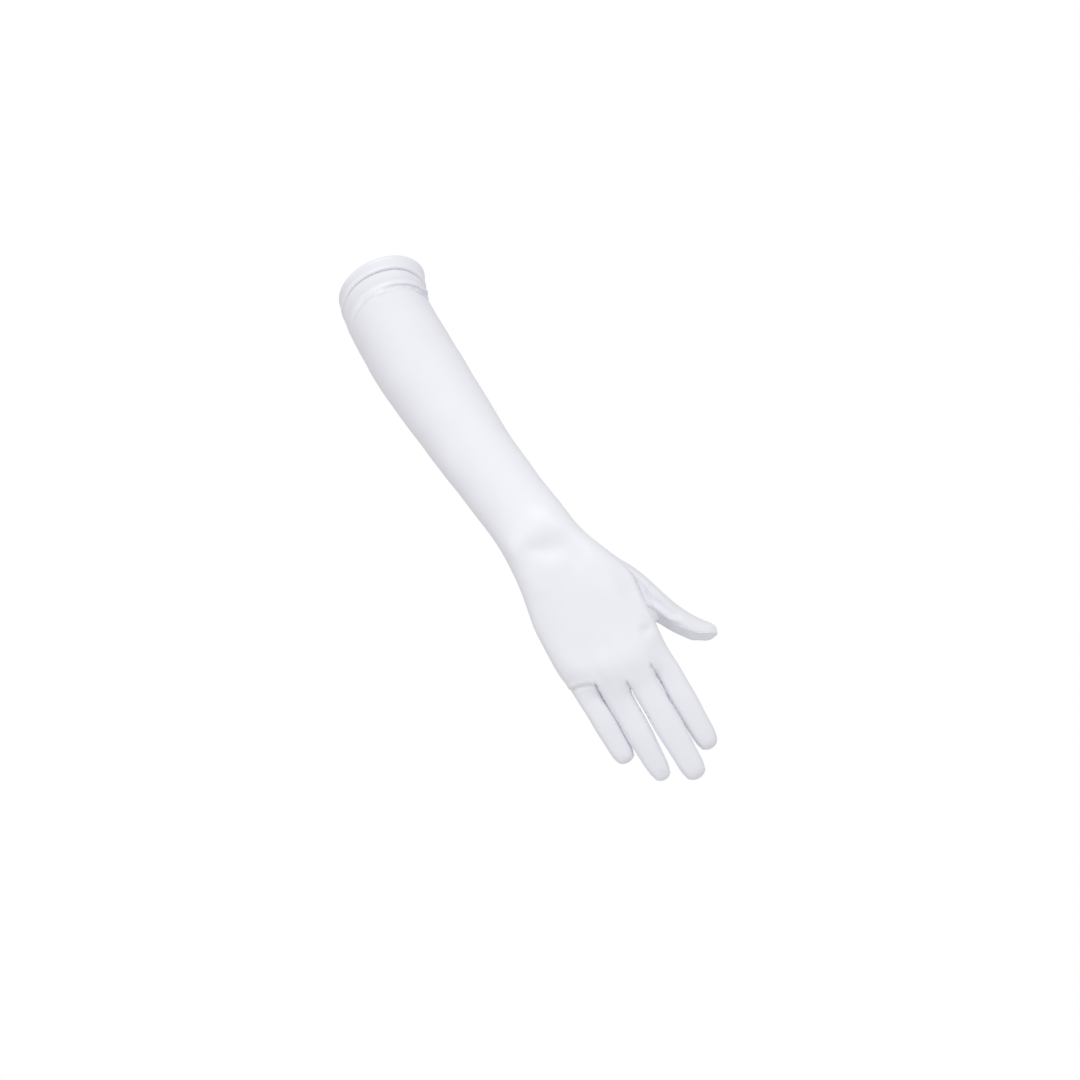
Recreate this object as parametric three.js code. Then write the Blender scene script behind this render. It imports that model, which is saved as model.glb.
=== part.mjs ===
// A long satin dress glove in its worn form: the right glove of a pair.
// Its arm opening is centred on the origin, the fingers hang towards -Z, the back of the hand
// faces -Y and the thumb points towards +X. All sizes are in millimetres, all angles in degrees.
import * as THREE from "three";

// Driving sizes
const WALL = 1.2;
const HEM_WALL = 2.4;
const SEAM_INSET = 0.18;
const FOURCHETTE_INSET = 0.22;
const SHARPEST_NOTCH = 0.2;
const FOLDED_BORDERS = 0.8;
const INTO_WEB = 2;
const AROUND_WEB = 5;
const HAND_DEPTH = -163;
const SATIN = { color: 0xe9e9f0, roughness: 0.42, metalness: 0 };

// Points round one section of the sleeve and hand: the seams are at 0 and at HALF_RING
const RING = 36;
const HALF_RING = RING / 2;
const FINGER_COLUMNS = 4;

// Turns rows of values into objects with the named columns
function table(columns, rows) {
  return rows.map((row) => Object.fromEntries(columns.map((name, place) => [name, row[place]])));
}

// Sections from the rim down to the last one above the finger roots. x, y, z: centre.
// wide, back, palm: half width and the depths on the two sides. pitch, lean: turns of the plane
// about X and Y. fan: how far the points gather under the fingers. square: how flat the section is.
// roll: how far the fold under the hem pushes the cloth out on the thumb side of the back.
const SECTIONS = table(
  ["name", "x", "y", "z", "wide", "back", "palm", "pitch", "lean", "fan", "square", "roll"],
  [
    ["rim", 0, 0, 0, 33.8, 32, 31, 34, 4, 0, 2.0, 0.6],
    ["hem_foot", -2.9, -6.6, -9.1, 32.4, 31.4, 30.6, 35, 3, 0, 2.0, -0.5],
    ["hem_shadow", -4.4, -11.0, -14.9, 31.7, 31, 30.2, 36, 1, 0, 2.0, 0],
    ["fold_crest", -5.2, -15.3, -20.5, 31.6, 30.8, 30, 36, 0, 0, 2.0, 1.8],
    ["fold_groove", -5.5, -18.1, -24.3, 31.5, 30.6, 29.8, 37, -1, 0, 2.0, -1.1],
    ["upper_cuff", -5.8, -23.3, -31, 31.4, 30.2, 29.4, 37, -1, 0, 2.0, 0],
    ["elbow", -5.8, -37.5, -49.8, 31.3, 29.4, 28.6, 37, -1, 0, 2.0, 0],
    ["upper_forearm", -5.2, -54.3, -72, 30.9, 28.4, 27.6, 37, -2, 0, 2.0, 0],
    ["forearm", -3.8, -72.3, -95.8, 29.7, 26.8, 26.2, 37, -3, 0, 2.0, 0],
    ["mid_forearm", -2.0, -90.3, -119.7, 28.1, 25, 24.6, 37, -4, 0, 2.05, 0],
    ["lower_forearm", -0.3, -108.4, -143.7, 26.5, 23, 22.8, 37, -5, 0, 2.1, 0],
    ["above_wrist", 2.0, -124.1, -164.5, 25.4, 21.2, 21, 37, -6, 0, 2.1, 0],
    ["ulna", 4.2, -137.4, -182.3, 24.9, 20, 19.8, 36, -6, 0, 2.1, 0],
    ["wrist", 6.1, -148.3, -197.1, 24.6, 19, 18.8, 32, -6, 0, 2.15, 0],
    ["wrist_crease", 7.6, -157, -210.7, 24.9, 17.6, 18, 22, -4, 0, 2.2, 0],
    ["hand_heel", 8.8, -161.8, -225.7, 26.2, 15.6, 17.4, 8, -2, 0.06, 2.3, 0],
    ["thumb_root", 10.8, HAND_DEPTH, -240.7, 29.3, 14, 16.6, 0, 0, 0.16, 2.35, 0],
    ["thenar", 12.3, HAND_DEPTH, -254.7, 33.1, 13.2, 16, 0, 0, 0.32, 2.4, 0],
    ["mid_palm", 13.1, HAND_DEPTH, -267.7, 36.5, 12.8, 15.4, 0, 0, 0.5, 2.45, 0],
    ["upper_palm", 12.5, HAND_DEPTH, -280.7, 36.8, 12.8, 14.8, 0, 0, 0.66, 2.5, 0],
    ["knuckle_foot", 11.8, HAND_DEPTH, -292.7, 36.4, 13, 14.2, 0, 0, 0.8, 2.55, 0],
    ["knuckles", 11.3, HAND_DEPTH, -304.7, 35.7, 12.6, 13, 0, 0, 0.92, 2.6, 0],
    ["webs", 11.1, HAND_DEPTH, -320.7, 34.3, 10.4, 10.8, 0, 0, 1, 2.6, 0],
  ],
);

// Borders of the four finger backs across the hand, little finger first, as shares of its half
// width, and the levels of the webs below them
const FINGER_BORDERS = [-0.955, -0.517, 0.019, 0.552, 0.955];
const WEB_LEVELS = [-313.5, -319.2, -327.8, -326.4, -320.5];
const PALM_WEB_DROP = 4;
const WEB_SAG = 2.5;

// Fingers: x at root and tip, level of the tip, half width, half depth, y of root and tip, and
// how much narrower the tip is. The fingers lie side by side, a seam's gap apart, at their roots.
const FINGERS = table(
  ["name", "rootX", "tipX", "tipZ", "wide", "deep", "rootY", "tipY", "taper"],
  [
    ["little", -15.0, -14.1, -376.4, 7.6, 6.9, 2, 7, 0.02],
    ["ring", 1.9, 1.1, -398.6, 8.75, 7.4, 0, 6, 0.16],
    ["middle", 20.25, 20.7, -408.0, 9.1, 7.8, -1, 5, 0.02],
    ["index", 37.95, 37.6, -395.2, 8.15, 7.5, 3, 9, 0.02],
  ],
);
const FOURCHETTES = ["fourchette_ring_little", "fourchette_middle_ring", "fourchette_index_middle"];
const BACK_SEAM_ANGLE = 24;
const PALM_SEAM_ANGLE = 45;

// Girth of a finger from its root to the last ring before the tip, as shares
const FINGER_RINGS = table(
  ["along", "girth"],
  [
    [0.13, 0.99],
    [0.31, 0.97],
    [0.49, 1.0],
    [0.67, 0.95],
    [0.85, 0.91],
    [0.955, 0.7],
  ],
);
const TIP_SPREAD = 0.5;
const TIP_SAG = 0.12;

// Thumb sections, from the hand out: the place of the outer edge and of the edge on the index side
// seen from the back, the depth of the centre behind the hand's, the half width in depth, and how
// far the two broad sides bow towards the tip
const THUMB = table(
  ["outerX", "outerZ", "innerX", "innerZ", "depth", "wide", "bow"],
  [
    [48.0, -258.0, 49.6, -309.0, 13.5, 13.5, 5],
    [55.6, -273.5, 53.6, -316.0, 14.5, 12.6, 3.5],
    [60.6, -288.6, 57.9, -322.3, 15.8, 11.6, 2.2],
    [65.2, -301.6, 62.4, -328.0, 17, 10.8, 1],
    [70.6, -312.6, 68.0, -332.4, 18.5, 10.2, 0.4],
    [77.0, -321.4, 74.6, -334.4, 19.5, 8.6, 0],
  ],
);
const THUMB_TIP = new THREE.Vector3(82.0, HAND_DEPTH + 20, -331.0);
const THUMB_DOME = 0.86;
const THUMB_FIRST_ROW = 16;
const THUMB_ROWS = 5;
const THUMB_COLUMNS = 4;
const THUMB_SEAM_ROW = 4;
const THUMB_CORNER_ANGLE = 40;

// Side of the section towards which the fold under the hem swells, in degrees round from +X
const FOLD_SIDE = -50;

// Bumps and hollows of the back of the wrist and hand: centre, reach across and along, height
const RELIEF = table(
  ["name", "x", "z", "across", "along", "height"],
  [
    ["ulna_head", -9.5, -216, 9, 11, 2.0],
    ["wrist_hollow", 13, -215, 14, 9, -1.6],
    ["little_knuckle", -12, -300, 7, 9, 0.9],
    ["ring_knuckle", 3, -305, 7, 9, 1.0],
    ["middle_knuckle", 20, -308, 8, 9, 1.3],
    ["index_knuckle", 36, -303, 7, 9, 0.9],
  ],
);

const radians = THREE.MathUtils.degToRad;

// The worn outer surface as one net of four-sided faces, each belonging to a named piece
class Net {
  constructor() {
    this.points = [];
    this.faces = [];
  }

  addPoint(point) {
    this.points.push(point);
    return this.points.length - 1;
  }

  addFace(piece, corners) {
    this.faces.push({ piece, corners });
  }

  // Adds a band of faces between two rings whose second one lies further down the glove
  addBand(upper, lower, pieceOf) {
    upper.forEach((start, place) => {
      const next = (place + 1) % upper.length;
      const piece = pieceOf(place);
      if (piece) this.addFace(piece, [start, lower[place], lower[next], upper[next]]);
    });
  }

  // Outward direction of a face, as long as twice its area
  facing(corners) {
    const [a, b, c, d] = corners.map((corner) => this.points[corner]);
    return c.clone().sub(a).cross(d.clone().sub(b));
  }

  // Outward direction at each point, from the faces around it
  normals() {
    const sums = this.points.map(() => new THREE.Vector3());
    for (const { corners } of this.faces) {
      const facing = this.facing(corners);
      for (const corner of corners) sums[corner].add(facing);
    }
    return sums.map((sum) => sum.normalize());
  }
}

// Share of the half width at which a ring's point lies, from -1 on the little finger's side
function shareAcross(place, fan) {
  const column = place <= HALF_RING ? place : RING - place;
  const round = -Math.cos((column / HALF_RING) * Math.PI);
  const across = (column - 1) / FINGER_COLUMNS;
  const finger = Math.min(Math.floor(across), FINGER_BORDERS.length - 2);
  const onSideSeam = column === 0 || column === HALF_RING;
  const gathered = onSideSeam
    ? round
    : THREE.MathUtils.lerp(FINGER_BORDERS[finger], FINGER_BORDERS[finger + 1], across - finger);
  return THREE.MathUtils.lerp(round, gathered, fan);
}

// Level of the webs at a ring's point
function webLevel(place) {
  const column = place <= HALF_RING ? place : RING - place;
  const across = THREE.MathUtils.clamp((column - 1) / FINGER_COLUMNS, 0, WEB_LEVELS.length - 1);
  const finger = Math.min(Math.floor(across), WEB_LEVELS.length - 2);
  const back = THREE.MathUtils.lerp(WEB_LEVELS[finger], WEB_LEVELS[finger + 1], across - finger);
  const onPalm = place > HALF_RING;
  return back - (onPalm ? PALM_WEB_DROP : 0);
}

// One point of a section's ring
function sectionPoint(section, place) {
  const share = shareAcross(place, section.fan);
  const { wide, back, palm, square, roll } = section;
  const bow = Math.pow(Math.max(0, 1 - Math.pow(Math.abs(share), square)), 1 / square);
  const depth = place > HALF_RING ? palm * bow : -back * bow;
  const flat = new THREE.Vector3(share * wide, depth, 0);
  const towardsFold = Math.cos(Math.atan2(depth, share * wide) - radians(FOLD_SIDE));
  const swell = roll * Math.max(0, towardsFold);
  flat.addScaledVector(flat.clone().normalize(), swell);
  const turn = new THREE.Euler(radians(-section.pitch), radians(section.lean), 0, "YXZ");
  const point = flat.applyEuler(turn);
  point.add(new THREE.Vector3(section.x, section.y, section.z));
  if (section.name === "webs") point.z = webLevel(place);
  return point;
}

// Rings of the sleeve and hand, the thumb's hole left open, and the hem as the first band
function addSleeveAndHand(net) {
  const rings = SECTIONS.map((section) =>
    Array.from({ length: RING }, (_, place) => net.addPoint(sectionPoint(section, place))),
  );
  for (let row = 0; row + 1 < rings.length; row += 1) {
    net.addBand(rings[row], rings[row + 1], (place) => {
      if (row === 0) return "cuff_hem";
      const inThumbRows = row >= THUMB_FIRST_ROW && row < THUMB_FIRST_ROW + THUMB_ROWS;
      const inThumbColumns = place >= HALF_RING && place < HALF_RING + THUMB_COLUMNS;
      if (inThumbRows && inThumbColumns) return null;
      return place < HALF_RING ? "back_panel" : "palm_panel";
    });
  }
  return rings;
}

// Which piece a column of a finger belongs to, the outermost sides being part of the two panels
function fingerPiece(finger, place) {
  const last = FINGERS.length - 1;
  if (place === 0) return finger === 0 ? "back_panel" : FOURCHETTES[finger - 1];
  if (place <= FINGER_COLUMNS) return "back_panel";
  if (place === FINGER_COLUMNS + 1) return finger === last ? "back_panel" : FOURCHETTES[finger];
  if (place === FINGER_COLUMNS + 2) return finger === last ? "palm_panel" : FOURCHETTES[finger];
  if (place < 2 * FINGER_COLUMNS + 3) return "palm_panel";
  return finger === 0 ? "palm_panel" : FOURCHETTES[finger - 1];
}

// Angles round a finger's ring: one side, the back, the other side, the front
function fingerAngles() {
  const backStep = (180 - 2 * BACK_SEAM_ANGLE) / FINGER_COLUMNS;
  const frontStep = (180 - 2 * PALM_SEAM_ANGLE) / FINGER_COLUMNS;
  const columns = Array.from({ length: FINGER_COLUMNS + 1 }, (_, column) => column);
  const back = columns.map((column) => 180 - BACK_SEAM_ANGLE - column * backStep);
  const front = columns.map((column) => -PALM_SEAM_ANGLE - column * frontStep);
  return [180, ...back, 0, ...front];
}

// Centre of a finger at a share of its length
function fingerCentre(finger, rootZ, along) {
  return new THREE.Vector3(
    THREE.MathUtils.lerp(finger.rootX, finger.tipX, along),
    HAND_DEPTH + THREE.MathUtils.lerp(finger.rootY, finger.tipY, along * along),
    THREE.MathUtils.lerp(rootZ, finger.tipZ, along),
  );
}

// One finger from the webs to its tip, where the back and the front meet in the tip seam
function addFinger(net, number, root) {
  const finger = FINGERS[number];
  const rootZ = Math.min(WEB_LEVELS[number], WEB_LEVELS[number + 1]);
  const angles = fingerAngles();
  let upper = root;
  for (const { along, girth } of FINGER_RINGS) {
    const centre = fingerCentre(finger, rootZ, along);
    const narrowed = girth * (1 - finger.taper * along * along);
    const ring = angles.map((angle) => {
      const out = new THREE.Vector3(
        finger.wide * narrowed * Math.cos(radians(angle)),
        -finger.deep * girth * Math.sin(radians(angle)),
        0,
      );
      return net.addPoint(out.add(centre));
    });
    net.addBand(upper, ring, (place) => fingerPiece(number, place));
    upper = ring;
  }
  const tip = fingerCentre(finger, rootZ, 1);
  const seam = [upper[0]];
  for (let column = 1; column < FINGER_COLUMNS; column += 1) {
    const side = (2 * column) / FINGER_COLUMNS - 1;
    const sag = finger.wide * TIP_SAG * side * side;
    const out = new THREE.Vector3(side * finger.wide * TIP_SPREAD, 0, sag);
    seam.push(net.addPoint(out.add(tip)));
  }
  seam.push(upper[FINGER_COLUMNS + 2]);
  for (let column = 0; column < FINGER_COLUMNS; column += 1) {
    const back = 1 + column;
    const front = FINGER_COLUMNS + 3 + column;
    const mirrored = FINGER_COLUMNS - column;
    net.addFace("back_panel", [upper[back], seam[column], seam[column + 1], upper[back + 1]]);
    net.addFace("palm_panel", [upper[front], seam[mirrored], seam[mirrored - 1], upper[front + 1]]);
  }
}

// All four fingers, which share the webs' middle points
function addFingers(net, webs) {
  const webMiddles = FOURCHETTES.map((_, number) => {
    const back = net.points[webs[(number + 1) * FINGER_COLUMNS + 1]];
    const front = net.points[webs[RING - (number + 1) * FINGER_COLUMNS - 1]];
    const middle = back.clone().add(front).multiplyScalar(0.5);
    middle.z = Math.min(back.z, front.z) - WEB_SAG;
    return net.addPoint(middle);
  });
  FINGERS.forEach((_, number) => {
    const first = 1 + number * FINGER_COLUMNS;
    const leftSide = number === 0 ? webs[0] : webMiddles[number - 1];
    const rightSide = number === FINGERS.length - 1 ? webs[HALF_RING] : webMiddles[number];
    const back = webs.slice(first, first + FINGER_COLUMNS + 1);
    const frontFirst = RING - first - FINGER_COLUMNS;
    const front = webs.slice(frontFirst, frontFirst + FINGER_COLUMNS + 1);
    addFinger(net, number, [leftSide, ...back, rightSide, ...front]);
  });
}

// Edge of the thumb's hole: down the side seam, along the crotch, up the palm and back
function thumbHole(rings) {
  const rows = rings.slice(THUMB_FIRST_ROW, THUMB_FIRST_ROW + THUMB_ROWS + 1);
  const first = HALF_RING;
  const last = HALF_RING + THUMB_COLUMNS;
  const down = rows.map((ring) => ring[first]);
  const across = rows[THUMB_ROWS].slice(first + 1, last + 1);
  const up = rows.slice(0, THUMB_ROWS).reverse().map((ring) => ring[last]);
  const returned = rows[0].slice(first + 1, last).reverse();
  return [...down, ...across, ...up, ...returned];
}

// One ring of the thumb
function thumbRing(net, section, count) {
  const outer = new THREE.Vector3(section.outerX, 0, section.outerZ);
  const inner = new THREE.Vector3(section.innerX, 0, section.innerZ);
  const centre = outer.clone().add(inner).multiplyScalar(0.5);
  centre.y = HAND_DEPTH + section.depth;
  const reach = outer.sub(inner).multiplyScalar(0.5);
  const tipwards = new THREE.Vector3(reach.z, 0, -reach.x).normalize();
  return Array.from({ length: count }, (_, place) => {
    const angle = radians(THUMB_CORNER_ANGLE + (place * 360) / count);
    const point = centre.clone().addScaledVector(reach, Math.cos(angle));
    point.addScaledVector(tipwards, section.bow * Math.sin(angle) ** 2);
    point.y -= section.wide * Math.sin(angle);
    return net.addPoint(point);
  });
}

// The round end of the thumb as a grid of points inside its last ring
function thumbEnd(net, ring) {
  const corner = THUMB_ROWS + THUMB_COLUMNS;
  const centre = new THREE.Vector3();
  for (const index of ring) centre.addScaledVector(net.points[index], 1 / ring.length);
  const outwards = THUMB_TIP.clone().sub(centre);
  const grid = [];
  for (let row = 0; row <= THUMB_ROWS; row += 1) {
    const left = ring[row];
    const right = ring[corner + THUMB_ROWS - row];
    const line = [];
    for (let column = 0; column <= THUMB_COLUMNS; column += 1) {
      const above = ring[(ring.length - column) % ring.length];
      const below = ring[THUMB_ROWS + column];
      if (row === 0) line.push(above);
      else if (row === THUMB_ROWS) line.push(below);
      else if (column === 0) line.push(left);
      else if (column === THUMB_COLUMNS) line.push(right);
      else {
        const across = column / THUMB_COLUMNS;
        const down = row / THUMB_ROWS;
        const [l, r, a, b] = [left, right, above, below].map((index) => net.points[index]);
        const level = l.clone().lerp(r, across);
        const upright = a.clone().lerp(b, down);
        const point = level.add(upright).multiplyScalar(0.5);
        const swell = 4 * Math.sqrt(across * (1 - across) * down * (1 - down));
        line.push(net.addPoint(point.addScaledVector(outwards, THUMB_DOME * swell)));
      }
    }
    grid.push(line);
  }
  return grid;
}

function addThumb(net, rings) {
  const hole = thumbHole(rings);
  const otherSeam = THUMB_ROWS + THUMB_COLUMNS + (THUMB_ROWS - THUMB_SEAM_ROW);
  const pieceOf = (place) =>
    place >= THUMB_SEAM_ROW && place < otherSeam ? "thumb_palm" : "thumb_back";
  let lower = hole;
  for (const section of THUMB) {
    const ring = thumbRing(net, section, hole.length);
    lower.forEach((start, place) => {
      const next = (place + 1) % lower.length;
      net.addFace(pieceOf(place), [start, lower[next], ring[next], ring[place]]);
    });
    lower = ring;
  }
  const grid = thumbEnd(net, lower);
  for (let row = 0; row < THUMB_ROWS; row += 1) {
    for (let column = 0; column < THUMB_COLUMNS; column += 1) {
      const piece = row < THUMB_SEAM_ROW ? "thumb_back" : "thumb_palm";
      const corners = [
        grid[row][column],
        grid[row + 1][column],
        grid[row + 1][column + 1],
        grid[row][column + 1],
      ];
      net.addFace(piece, corners);
    }
  }
}

// Pushes the back of the wrist and hand out or in where the relief says
function shapeRelief(net) {
  const normals = net.normals();
  net.points.forEach((point, index) => {
    const facesBack = Math.max(0, -normals[index].y);
    for (const { x, z, across, along, height } of RELIEF) {
      const away = ((point.x - x) / across) ** 2 + ((point.z - z) / along) ** 2;
      point.addScaledVector(normals[index], height * facesBack * Math.exp(-away));
    }
  });
}

// How far and which way each border point of a piece draws back within the cloth, so that
// neighbours stay a seam's gap apart. Where two borders run side by side from a web, a piece that
// lies between them draws back along them, and a piece that lies around them draws back the other way.
function borderPulls(net, faces, borders, inset) {
  const bodies = new Map();
  for (const corners of faces) {
    corners.forEach((corner, place) => {
      const opposite = net.points[corners[(place + 2) % corners.length]];
      const towards = opposite.clone().sub(net.points[corner]);
      bodies.set(corner, towards.add(bodies.get(corner) ?? new THREE.Vector3()));
    });
  }
  const meeting = new Map();
  for (const { start, end, facing } of borders) {
    const run = net.points[end].clone().sub(net.points[start]).normalize();
    const inward = facing.clone().cross(run).normalize();
    for (const [point, away] of [[start, run], [end, run.clone().negate()]]) {
      meeting.set(point, [...(meeting.get(point) ?? []), { inward, away }]);
    }
  }
  const pulls = new Map();
  for (const [point, edges] of meeting) {
    const inwards = new THREE.Vector3();
    const aways = new THREE.Vector3();
    for (const { inward, away } of edges) {
      inwards.add(inward);
      aways.add(away);
    }
    const spread = inwards.length() / edges.length;
    const isNotch = spread < SHARPEST_NOTCH;
    const isFold = !isNotch && aways.length() > FOLDED_BORDERS * edges.length;
    const around = bodies.get(point).dot(aways) < 0;
    const pull = isNotch ? aways.clone().negate() : inwards;
    pull.normalize().multiplyScalar(inset / Math.max(spread, SHARPEST_NOTCH));
    if (isFold) pull.addScaledVector(aways.normalize(), (around ? -AROUND_WEB : INTO_WEB) * inset);
    pulls.set(point, pull);
  }
  return pulls;
}

// Closed wall of one piece: its outer faces, the same faces moved in, and the edges between
function wallOf(net, normals, name) {
  const wall = name === "cuff_hem" ? HEM_WALL : WALL;
  const inset = FOURCHETTES.includes(name) ? FOURCHETTE_INSET : SEAM_INSET;
  const faces = net.faces.filter(({ piece }) => piece === name).map(({ corners }) => corners);
  const edges = new Map();
  for (const corners of faces) {
    const facing = net.facing(corners);
    corners.forEach((start, place) => {
      const end = corners[(place + 1) % corners.length];
      edges.set(start + " " + end, { start, end, facing });
    });
  }
  const borders = [...edges.values()].filter(({ start, end }) => !edges.has(end + " " + start));
  const pulls = borderPulls(net, faces, borders, inset);
  const positions = [];
  const outerOf = new Map();
  const innerOf = new Map();
  for (const index of new Set(faces.flat())) {
    const point = net.points[index].clone();
    const pull = pulls.get(index);
    if (pull) point.add(pull);
    outerOf.set(index, positions.length / 3);
    positions.push(...point.toArray());
    point.addScaledVector(normals[index], -wall);
    innerOf.set(index, positions.length / 3);
    positions.push(...point.toArray());
  }
  const triangles = [];
  const addQuad = (a, b, c, d) => triangles.push(a, b, c, a, c, d);
  for (const corners of faces) {
    addQuad(...corners.map((corner) => outerOf.get(corner)));
    addQuad(...corners.map((corner) => innerOf.get(corner)).reverse());
  }
  for (const { start, end } of borders) {
    const side = [outerOf.get(end), outerOf.get(start), innerOf.get(start), innerOf.get(end)];
    // Both neighbours of a seam split its twisted edge along the same diagonal
    if (start > end) side.push(side.shift());
    addQuad(...side);
  }
  const geometry = new THREE.BufferGeometry();
  geometry.setAttribute("position", new THREE.Float32BufferAttribute(positions, 3));
  geometry.setIndex(triangles);
  geometry.computeVertexNormals();
  return geometry;
}

function buildNet() {
  const net = new Net();
  const rings = addSleeveAndHand(net);
  addFingers(net, rings[rings.length - 1]);
  addThumb(net, rings);
  shapeRelief(net);
  return net;
}

function buildGlove() {
  const glove = new THREE.Group();
  const net = buildNet();
  const normals = net.normals();
  const names = ["cuff_hem", "back_panel", "palm_panel", ...FOURCHETTES, "thumb_back", "thumb_palm"];
  for (const name of names) {
    const material = new THREE.MeshStandardMaterial(SATIN);
    const mesh = new THREE.Mesh(wallOf(net, normals, name), material);
    mesh.name = name;
    glove.add(mesh);
  }
  return glove;
}

export default buildGlove();
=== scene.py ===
"""The looks of a long satin dress glove in its worn form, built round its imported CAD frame.

Sizes are in metres unless a name says millimetres. The arm opening is centred on the origin, the
fingers hang towards -Z, the back of the hand faces -Y and the thumb points towards +X.
"""

import logging
import math
from collections.abc import Callable
from dataclasses import dataclass, field
from enum import Enum
from functools import partial

import bmesh
import bpy
import numpy as np
from mathutils import Matrix, Vector, noise
from mathutils.kdtree import KDTree


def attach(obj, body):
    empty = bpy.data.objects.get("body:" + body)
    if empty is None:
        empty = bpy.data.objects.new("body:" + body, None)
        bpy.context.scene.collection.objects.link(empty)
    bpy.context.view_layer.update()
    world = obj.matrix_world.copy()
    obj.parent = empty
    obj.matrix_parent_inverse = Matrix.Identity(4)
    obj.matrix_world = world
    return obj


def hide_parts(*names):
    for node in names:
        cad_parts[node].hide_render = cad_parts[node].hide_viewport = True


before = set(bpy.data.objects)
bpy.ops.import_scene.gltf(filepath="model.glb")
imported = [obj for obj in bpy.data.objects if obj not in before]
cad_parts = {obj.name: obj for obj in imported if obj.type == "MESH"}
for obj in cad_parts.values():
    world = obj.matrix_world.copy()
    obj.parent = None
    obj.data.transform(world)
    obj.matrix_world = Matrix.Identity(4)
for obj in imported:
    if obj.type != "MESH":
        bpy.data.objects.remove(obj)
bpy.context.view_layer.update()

log = logging.getLogger("long_glove")

MM = 0.001
WELD = 0.001 * MM
CLOTH_MAP = "cloth"

# The cage's points in a ring, its rows and columns, and its places in millimetres
RING = 36
HALF_RING = RING // 2
HEM_ROWS = 3
FINGER_COLUMNS = 4
HAND_DEPTH = -163.0
COLUMN_WIDTH = 5.5
SMOOTHNESS = 3

WorkMesh = bmesh.types.BMesh
Vert = bmesh.types.BMVert
Edge = bmesh.types.BMEdge
Face = bmesh.types.BMFace


class Panel(Enum):
    """The sewn pieces of cloth, each with the material place of its faces in the cage."""

    CUFF_HEM = 0
    BACK_PANEL = 1
    PALM_PANEL = 2
    FOURCHETTE_RING_LITTLE = 3
    FOURCHETTE_MIDDLE_RING = 4
    FOURCHETTE_INDEX_MIDDLE = 5
    THUMB_BACK = 6
    THUMB_PALM = 7

    @property
    def node(self) -> str:
        """Name of the CAD node that this piece stands for."""
        return self.name.lower()


FOURCHETTES = (
    Panel.FOURCHETTE_RING_LITTLE,
    Panel.FOURCHETTE_MIDDLE_RING,
    Panel.FOURCHETTE_INDEX_MIDDLE,
)


def lerp(start: float, end: float, share: float) -> float:
    """Value at a share of the way from start to end."""
    return start + (end - start) * share


def column_at(place: int) -> int:
    """Column of the back or the palm in which a place of a ring lies."""
    return place if place <= HALF_RING else RING - place


def at_borders(values: tuple[float, ...], place: int) -> float:
    """Value at a place of a ring, from one value for each border of the fingers."""
    across = min(max((column_at(place) - 1) / FINGER_COLUMNS, 0.0), len(values) - 1.0)
    finger = min(int(across), len(values) - 2)
    return lerp(values[finger], values[finger + 1], across - finger)


def squared(share: float) -> float:
    """Sine or cosine of an angle, turned into that of a finger's flatter section."""
    return math.copysign(abs(share) ** FINGER_FLATNESS, share)


def extruded(mesh: WorkMesh, edges: list[Edge]) -> tuple[dict[Vert, Vert], list[Edge]]:
    """Extrudes a run of edges.

    Args:
        mesh: the mesh that they belong to.
        edges: the run.

    Returns:
        The new point that belongs to each old one, and the new run.
    """
    made = bmesh.ops.extrude_edge_only(mesh, edges=edges)["geom"]
    fresh = {item for item in made if isinstance(item, Vert)}
    partner = {}
    for vertex in {vertex for edge in edges for vertex in edge.verts}:
        others = (edge.other_vert(vertex) for edge in vertex.link_edges)
        partner[vertex] = next(other for other in others if other in fresh)
    return partner, [item for item in made if isinstance(item, Edge) and set(item.verts) <= fresh]


def next_ring(mesh: WorkMesh, ring: list[Vert]) -> list[Vert]:
    """Extrudes a closed ring of points.

    Args:
        mesh: the mesh that they belong to.
        ring: the points in order.

    Returns:
        The new points in the same order.
    """
    border = [mesh.edges.get(pair) for pair in zip(ring, [*ring[1:], ring[0]])]
    partner, _ = extruded(mesh, border)
    return [partner[vertex] for vertex in ring]


@dataclass(frozen=True)
class Section:
    """One section of the sleeve and hand, in millimetres and degrees."""

    name: str
    x: float
    y: float
    z: float
    wide: float
    back: float
    palm: float
    pitch: float
    lean: float
    fan: float = 0.0
    square: float = 2.0
    roll: float = 0.0

    def share_across(self, place: int) -> float:
        """Share of the half width at which a place of the ring lies."""
        column = column_at(place)
        round_share = -math.cos(column / HALF_RING * math.pi)
        if column in (0, HALF_RING):
            return round_share
        return lerp(round_share, at_borders(FINGER_BORDERS, place), self.fan)

    def point(self, place: int) -> Vector:
        """Place of one point of the ring, in metres."""
        share = self.share_across(place)
        bow = max(0.0, 1 - abs(share) ** self.square) ** (1 / self.square)
        depth = self.palm * bow if place > HALF_RING else -self.back * bow
        flat = Vector((share * self.wide, depth, 0))
        towards_fold = math.cos(math.atan2(depth, flat.x) + math.radians(FOLD_SIDE))
        flat += flat.normalized() * self.roll * max(0.0, towards_fold)
        turn = Matrix.Rotation(math.radians(self.lean), 3, "Y")
        turn = turn @ Matrix.Rotation(math.radians(-self.pitch), 3, "X")
        spot = turn @ flat + Vector((self.x, self.y, self.z))
        if self.name == "webs":
            spot.z = web_level(place)
        return spot * MM


# Where the folds stand out round the arm, in degrees, and where the fingers part, in millimetres
FOLD_SIDE = 50.0
FINGER_BORDERS = (-0.955, -0.517, 0.019, 0.552, 0.955)
WEB_LEVELS = (-313.5, -319.2, -327.8, -326.4, -320.5)
PALM_WEB_DROP = 4.0
WEB_SAG = 2.5

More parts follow.
